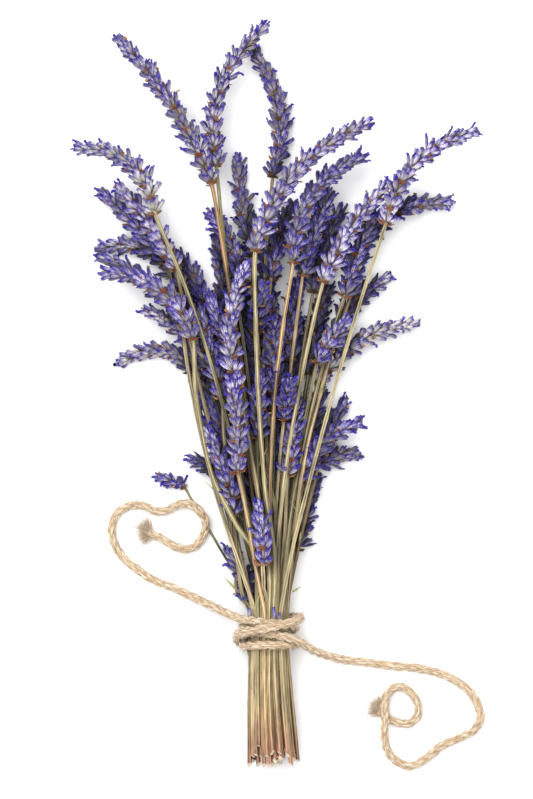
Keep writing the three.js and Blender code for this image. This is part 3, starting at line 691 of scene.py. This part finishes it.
def add_stem(skin, rng, line, foot_run, radius):
    """The stem: a square section with rounded corners and hollow sides, whose radius share is
    1 + 0.11 cos 4a - 0.03 cos 8a at the angle a. It thins along the spike, swells at two or three
    nodes and is a little uneven all along. The cut face is a shallow cup in its end, and slants: its
    corners are moved along the stem by a share of how far up they lie."""
    run = run_of(line)
    turn = 2 * np.pi * np.arange(STEM_SIDES) / STEM_SIDES
    section = 1 + 0.11 * np.cos(4 * turn) - 0.03 * np.cos(8 * turn)
    thin = np.interp(run, [0, foot_run, run[-1]], [radius, radius * 0.85, RACHIS_RADIUS])
    nodes = rng.uniform(0.15, 0.95, 3) * foot_run
    swell = 1 + 0.2 * np.exp(-(((run[:, None] - nodes[None]) / 2.0) ** 2)).sum(1)
    waves = 1 + 0.05 * np.sin(run / 7.0 + rng.uniform(0, 6)) + 0.03 * rng.standard_normal(len(run))
    thick = thin * swell * waves * rng.uniform(0.88, 1.08)
    first = unit(np.array([rng.normal(), 0.0, rng.normal()]))
    inward = unit(line[1] - line[0])
    cup = np.array([line[0] + inward * depth for depth in (0.7, 0.02)])
    path = np.vstack([cup, line])
    _, side, rise = carried_frame(line, first)
    side, rise = (np.vstack([v[:1], v[:1], v]) for v in (side, rise))
    reach = np.r_[thick[0] * 0.35, thick[0] * 0.78, thick]
    ring = turned(side[:, None], rise[:, None], turn[None])
    grid = path[:, None] + reach[:, None, None] * section[None, :, None] * ring
    tilt = unit(np.array([rng.normal(0, 0.6), 0.0, 1.0]))
    lift = (grid[:3] - path[:3, None]) @ tilt
    grid[:3] += inward * (rng.uniform(0.4, 1.5) * lift)[..., None]
    skin.add(grid[None], path[None, 0], path[None, -1], np.r_[-2, -1, run][None], rng.uniform(), STEM)
    return nodes


def whorl_places(foot_run, end_run):
    """Distances of the whorls along the line. They close up towards the tip: the share of the
    spike covered at the share x of the whorls is x (1.25 - 0.25 x)."""
    span = max(end_run - TIP_REACH - foot_run, 4.0)
    count = max(int(round(span / WHORL_SPACING)) + 1, 3)
    x = np.linspace(0, 1, count)
    return foot_run + 1.0 + span * x * (1.25 - 0.25 * x), x


def add_spike(skin, rng, line, foot_run, size, tones):
    """The flower spike. Each whorl has two opposite fans, turned a quarter from the whorl below.
    A fan's outer calyces lean far out; its inner ones stand higher and steeper."""
    tangent, side, rise = carried_frame(line, (0.3, 0, 1))
    run = run_of(line)
    places, share = whorl_places(foot_run, run[-1])
    counts = np.round(np.interp(share, [0, 1], [CALYCES_LOW, CALYCES_HIGH])).astype(int)
    whorl = np.repeat(np.arange(len(places)), counts)
    order = np.concatenate([np.arange(n) for n in counts])
    fan = order % 2
    step = order // 2
    in_fan = (counts[whorl] + 1 - fan) // 2
    spread = (step + 0.5) / in_fan - 0.5
    inner = (step % 2).astype(float)
    x = share[whorl]
    first_angle = rng.uniform(0, np.pi)
    angle = first_angle + whorl * np.pi / 2 + fan * np.pi + spread * FAN_SPREAD
    angle = angle + 0.2 * rng.standard_normal(len(angle))
    height = places[whorl] + inner * 1.7 + 0.5 * rng.standard_normal(len(whorl))
    lean = np.radians(np.interp(x, [0, 0.7, 1], [51, 42, 25])) * (1 - 0.45 * inner)
    lean = lean + np.radians(9) * rng.standard_normal(len(lean))
    base, axis, out = stand_on(line, run, (tangent, side, rise), height, angle, lean, 0.7 * size)
    grow = size * np.interp(x, [0, 0.15, 0.75, 1], [0.96, 1.1, 0.98, 0.86])
    length = CALYX_LENGTH * grow * rng.uniform(0.74, 1.12, len(x))
    width = CALYX_WIDTH * grow * rng.uniform(0.76, 1.14, len(x))
    tone = 0.4 * rng.uniform() + 0.6 * rng.uniform(0, 1, len(x))
    tone = tone + np.interp(line[-1, 0], BLEACHED_SIDE, (0, 0.25))
    tone = tone + tones["foot_fading"] * np.interp(x, [0.1, 0.35], [1, 0])
    mouth = add_calyces(skin, rng, base, axis, out, length, width, tone)
    held = rng.uniform(size=len(x)) < tones["corolla"] * np.interp(x, [0, 1], [0.8, 1.3])
    add_corollas(skin, rng, mouth[held], axis[held], out[held], rng.uniform(size=held.sum()))

    # two broad bracts under the fans of each whorl, with a smaller one either side of each
    whorl = np.repeat(np.arange(len(places)), 6)
    corner = np.tile(np.arange(6), len(places))
    middle = corner % 3 == 0
    angle = first_angle + whorl * np.pi / 2 + (corner // 3) * np.pi
    angle = angle + np.select([corner % 3 == 1, corner % 3 == 2], [0.75, -0.75], 0.0)
    angle = angle + 0.15 * rng.standard_normal(len(whorl))
    big = np.where(middle, 1.0, 0.72) * size * rng.uniform(0.8, 1.15, len(whorl))
    big = big * np.interp(share[whorl], [0, 0.6, 1], [1, 0.95, 0.6])
    height = places[whorl] - 1.2 + 0.3 * rng.standard_normal(len(whorl))
    lean = np.radians(rng.uniform(48, 68, len(whorl)))
    base, axis, out = stand_on(line, run, (tangent, side, rise), height, angle, lean, 0.8 * size)
    add_blades(skin, base, axis, out, BRACT_LENGTH * big, BRACT_WIDTH * big,
               np.full(len(whorl), -0.2), -rng.uniform(0.05, 0.3, len(whorl)),
               rng.uniform(0, 0.85, len(whorl)), BRACT)


def stand_on(line, run, frames, height, angle, lean, off):
    """Where things grow out of a line: at the distances height along it, turned by angle round it
    and leaning out by lean from it, with the foot off from its middle. Returns each foot, the
    way it grows and the way square to that which faces outward."""
    tangent, side, rise = (
        np.column_stack([np.interp(height, run, v[:, k]) for k in range(3)]) for v in frames
    )
    tangent = unit(tangent)
    radial = unit(turned(side, rise, angle))
    axis = unit(turned(tangent, radial, lean))
    out = unit(turned(radial, -tangent, lean))
    return at(line, height) + radial * off, axis, out


def add_leaves(skin, rng, line, runs):
    """A few narrow leaves left on the stem, each bending away from it."""
    count = len(runs)
    frames = carried_frame(line, (0.3, 0, 1))
    angle = rng.uniform(0, 2 * np.pi, count)
    lean = np.radians(rng.uniform(18, 34, count))
    base, axis, out = stand_on(line, run_of(line), frames, runs, angle, lean, 0.6)
    add_blades(skin, base, axis, out, rng.uniform(7, 12, count), rng.uniform(0.9, 1.4, count),
               np.full(count, 0.3), rng.uniform(-0.2, 0.2, count), rng.uniform(size=count), LEAF)


def make_sprig(number, name, slot, materials, bar, cover):
    """One grown sprig in place of its CAD bar."""
    rng = np.random.default_rng(SEED + number)
    rings, radii = bar
    thin = radii[0] < SHOOT_BELOW
    line = smooth_line(rings, STEM_STEP)
    foot = int(np.argmax(radii > SPIKE_WIDENS * radii[0])) - 1
    foot_run = run_of(smooth_line(rings[: foot + 1], STEM_STEP))[-1]
    skin = Skin()
    nodes = add_stem(skin, rng, line, foot_run, SHOOT_RADIUS if thin else STEM_RADIUS)
    add_spike(skin, rng, line, foot_run, SHOOT_SPIKE if thin else 1.0, TONES[slot])
    if rng.uniform() < LEAFY_SHARE:
        add_leaves(skin, rng, line, np.repeat(nodes[:1], 2))
    skin.press_flat()
    sprig = skin.piece(f"lavender_{name}", materials, cover)
    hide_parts(name)


def make_loose_bits(materials):
    """Small things between the stems near the twine: three buds caught under it, two leaves on
    the left and one on the right. Places are from the middle of the tie."""
    rng = np.random.default_rng(SEED + 400)
    skin = Skin()
    middle = np.array(TIE_MIDDLE)
    base = middle + [(-9.6, 5.2, 19.4), (3.0, 5.6, 23.6), (4.8, 5.2, 23.2)]
    axis = unit(np.array([(-0.05, 1, 0.12), (-0.1, 1, 0.2), (0.12, 1, 0.15)]))
    out = unit(np.cross(axis, [1.0, 0, 0]))
    out = out * np.sign(out[:, 2:])
    add_calyces(skin, rng, base, axis, out, np.array([6.6, 6.8, 4.6]), np.array([1.9, 1.7, 1.5]),
                np.array([0.8, 0.2, 0.1]))
    base = middle + [(-15.0, 19.5, 12.0), (-13.8, 24.0, 14.0), (11.8, 20.0, 17.0)]
    axis = unit(np.array([(-0.68, 0.7, 0.15), (-0.55, 0.8, 0.3), (0.82, 0.5, 0.25)]))
    out = unit(np.cross(axis, np.cross([0.0, 0, 1], axis)))
    add_blades(skin, base, axis, out, np.array([12.0, 6.0, 5.2]), np.array([1.3, 0.9, 1.3]),
               np.full(3, 0.2), np.array([0.1, -0.1, 0.15]), np.full(3, 0.5), LEAF)
    bits = skin.piece("loose_buds_and_leaves", materials)


# ---- The twine ----

def add_plies(skin, line, side, rise, run):
    """Three plies that wind round the twine's middle line, each a core with thin yarns round it.
    At the distance s along the twine a ply's middle is PLY_ORBIT away at the angle
    2 pi (s / PLY_LAY + k / 3); a yarn is PLY_RADIUS - YARN_RADIUS from that middle at the angle
    2 pi (n / YARNS - s / YARN_LAY). Slow waves make both reaches uneven."""
    for ply in range(3):
        turn = 2 * np.pi * (run / PLY_LAY + ply / 3)
        orbit = PLY_ORBIT * (1 + 0.1 * np.sin(run / 9.0 + 2.1 * ply))
        middle = line + orbit[:, None] * turned(side, rise, turn)
        core = np.full(len(run), PLY_RADIUS - 1.1 * YARN_RADIUS)
        skin.sweep(middle, core, 8, run[None], 0.05 + ply / 3, side[0])
        for yarn in range(YARNS):
            phase = 1.7 * yarn + 5.1 * ply
            turn = 2 * np.pi * (yarn / YARNS - run / YARN_LAY) + 0.35 * np.sin(run / 5.0 + phase)
            reach = (PLY_RADIUS - YARN_RADIUS) * (1 + 0.16 * np.sin(run / 3.7 + phase))
            path = middle + reach[:, None] * turned(side, rise, turn)
            thick = YARN_RADIUS * (1 + 0.2 * np.sin(run / 2.9 + 2 * phase))
            tint = (ply * YARNS + yarn + 0.5) / (3 * YARNS)
            skin.sweep(path, thick, YARN_SIDES, run[None], tint, side[0])


def add_hairs(skin, rng, starts, heads, lengths, thick, curl):
    """Loose fibres: three-sided tubes that start at starts, head along heads and curl sideways
    by curl times their length at the end, as the square of the distance along them."""
    count = len(starts)
    t = np.linspace(0, 1, 5)
    heads = unit(heads)
    bend = rng.standard_normal((count, 3))
    bend = unit(bend - heads * (bend * heads).sum(1, keepdims=True))
    middle = starts[:, None] + heads[:, None] * (lengths[:, None, None] * t[None, :, None])
    middle = middle + bend[:, None] * (curl * lengths)[:, None, None] * (t**2)[None, :, None]
    turn = 2 * np.pi * np.arange(3)[None] / 3
    ring = turned(bend[:, None], np.cross(heads, bend)[:, None], turn)
    taper = thick[:, None] * (1 - 0.6 * t)[None]
    grid = middle[:, :, None] + taper[..., None, None] * ring[:, None]
    tips = middle[:, -1] + heads * 0.02
    skin.add(grid, middle[:, 0], tips, t[None] * 3, rng.uniform(0, 1, count), 0)


def make_twine(name, line, side, rise, run, longest_hair, rng, jute):
    """One stretch of the twine: its plies and the short hairs that stand off them."""
    skin = Skin()
    add_plies(skin, line, side, rise, run)
    count = int(HAIR_PER_MM * (run[-1] - run[0]))
    where = rng.integers(2, len(line) - 2, count)
    angle = rng.uniform(0, 2 * np.pi, count)
    off = turned(side[where], rise[where], angle)
    forward = unit(np.gradient(line, axis=0))[where] * rng.choice([-1, 1], count)[:, None]
    heads = forward * rng.uniform(0.6, 1.6, count)[:, None]
    heads = heads + off * rng.uniform(0.1, 0.5, count)[:, None]
    add_hairs(skin, rng, line[where] + off * (TWINE_RADIUS - 0.4), heads,
              rng.uniform(1.5, longest_hair, count), rng.uniform(0.035, 0.075, count),
              rng.uniform(-0.25, 0.25, count))
    skin.press_flat(0.05)
    piece = skin.piece(name, [jute])
    return piece


def make_fray(name, end, heading, tufts, rng, jute):
    """The frayed end of a tail: its plies opened into tufts of loose, curling fibres. Each tuft is
    given as its angle from the twine's heading, its length and its share of the fibres."""
    skin = Skin()
    up = np.array([0.0, 0.0, 1.0])
    for angle, reach, share in tufts:
        count = int(FRAY_FIBRES * share)
        turned = heading * math.cos(angle) + np.cross(up, heading) * math.sin(angle)
        across = np.cross(up, turned)
        fan = rng.normal(0, 0.3, count)[:, None]
        heads = turned + across * fan + up * rng.normal(0, 0.1, (count, 1))
        starts = end - heading * rng.uniform(0.5, 2.5, (count, 1))
        starts = starts + across * rng.uniform(-1, 1, (count, 1))
        starts = starts + across * 1.2 * fan + up * rng.uniform(-1.5, 1.0, (count, 1))
        add_hairs(skin, rng, starts, heads, reach * rng.uniform(0.6, 1.1, count),
                  rng.uniform(0.07, 0.16, count), rng.uniform(-0.3, 0.3, count))
    skin.press_flat(0.05)
    piece = skin.piece(name, [jute])
    return piece


def twine_route():
    """The twine's route in mm from the frayed end of its left tail to that of its right one, as
    three lines: left tail, wraps and right tail."""
    wraps, _ = spine("twine_tie")
    if wraps[0, 0] > wraps[-1, 0]:
        wraps = wraps[::-1]
    tails = []
    for route, near, inner in ((LEFT_TAIL, wraps[0], wraps[1]), (RIGHT_TAIL, wraps[-1], wraps[-2])):
        points = np.array(route)
        moved = points + [*(near + unit(near - inner) * JOINT_GAP - points[0])[:2], 0]
        tails.append(np.vstack([near + unit(near - inner) * 0.02, moved[1:]]))
    left, right = (smooth_line(tail, TWINE_STEP) for tail in tails)
    wraps = smooth_line(wraps, TWINE_STEP)
    return left[::-1], wraps, right


def make_all_twine(jute):
    """The wraps and both tails, cut from one run of twine so that the plies go on from each to
    the next, and the frayed ends."""
    parts = twine_route()
    whole = np.concatenate(parts)
    _, side, rise = carried_frame(whole, (0, 0, 1))
    run = run_of(whole)
    ends = np.cumsum([0] + [len(part) for part in parts])
    names = ("jute_tail_left", "jute_tie", "jute_tail_right")
    for k, (name, hair) in enumerate(zip(names, LONGEST_HAIRS)):
        span = slice(ends[k], ends[k + 1])
        rng = np.random.default_rng(SEED + 500 + k)
        make_twine(name, whole[span], side[span], rise[span], run[span], hair, rng, jute)
    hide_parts("twine_tie")
    for k, (index, near, node) in enumerate(((0, -1, "twine_tail_left"), (2, 0, "twine_tail_right"))):
        path = parts[index] if near == 0 else parts[index][::-1]
        rng = np.random.default_rng(SEED + 600 + k)
        heading = unit(path[-1] - path[-4]) * [1, 1, 0]
        fray = make_fray(f"frayed_end_{('left', 'right')[k]}", path[-1], heading, TUFTS[k], rng, jute)
        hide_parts(node)


# ---- Camera, light and table ----

def make_stage():
    """A long lens looks straight down at the bunch; a large soft light stands on its upper left,
    with even white light from all round."""
    low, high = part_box("twine_tie")
    tie = (low + high) / 2
    centre = (tie.x + VIEW_SHIFT[0] * MM, tie.y + VIEW_SHIFT[1] * MM)
    camera = bpy.data.cameras.new("camera")
    camera.sensor_width = 36
    camera.lens = camera.sensor_width * (CAMERA_HEIGHT - SUBJECT_HEIGHT) / (VIEW_LENGTH * MM)
    camera.clip_end = 20
    eye = bpy.data.objects.new("camera", camera)
    eye.location = (*centre, CAMERA_HEIGHT)
    bpy.context.scene.collection.objects.link(eye)
    bpy.context.scene.camera = eye

    for name, place, size, power in LAMPS:
        lamp = bpy.data.lights.new(name, "AREA")
        lamp.shape = "DISK"
        lamp.size = size
        lamp.energy = power
        holder = bpy.data.objects.new(name, lamp)
        holder.location = place
        aim = np.array([0, 0, SUBJECT_HEIGHT]) - place
        holder.rotation_euler = (
            math.atan2(math.hypot(aim[0], aim[1]), -aim[2]), 0, math.atan2(aim[0], -aim[1]) + math.pi
        )
        bpy.context.scene.collection.objects.link(holder)

    world = bpy.data.worlds.new("soft white room")
    world.use_nodes = True
    background = world.node_tree.nodes["Background"]
    background.inputs[0].default_value = linear("#FFFFFF")
    background.inputs[1].default_value = ROOM_LIGHT
    bpy.context.scene.world = world

    half = TABLE_HALF
    mesh = bpy.data.meshes.new("table")
    corners = [(-half, -half, 0), (half, -half, 0), (half, half, 0), (-half, half, 0)]
    mesh.from_pydata(corners, [], [(0, 1, 2, 3)])
    mesh.materials.append(table_material())
    table = bpy.data.objects.new("table", mesh)
    bpy.context.scene.collection.objects.link(table)
    bpy.context.scene.view_settings.view_transform = "Standard"


# ---- Making everything ----

make_stage()
make_all_twine(jute_material())

slots = {row["node"]: row["material_slot"] for row in frame["record"]["subparts"]}
stem, bract, corolla, leaf = stem_material(), bract_material(), corolla_material(), leaf_material()
calyx = {name: calyx_material(name, tone) for name, tone in TONES.items()}
sprig_names = sorted(name for name in slots if name.startswith("sprig_"))
bars = [spine(name) for name in sprig_names]
cover = cover_map(bars)
for number, (name, bar) in enumerate(zip(sprig_names, bars)):
    slot = slots[name]
    make_sprig(number, name, slot, [stem, calyx[slot], bract, corolla, leaf], bar, cover)
make_loose_bits([stem, calyx["lavender_violet"], bract, corolla, leaf])
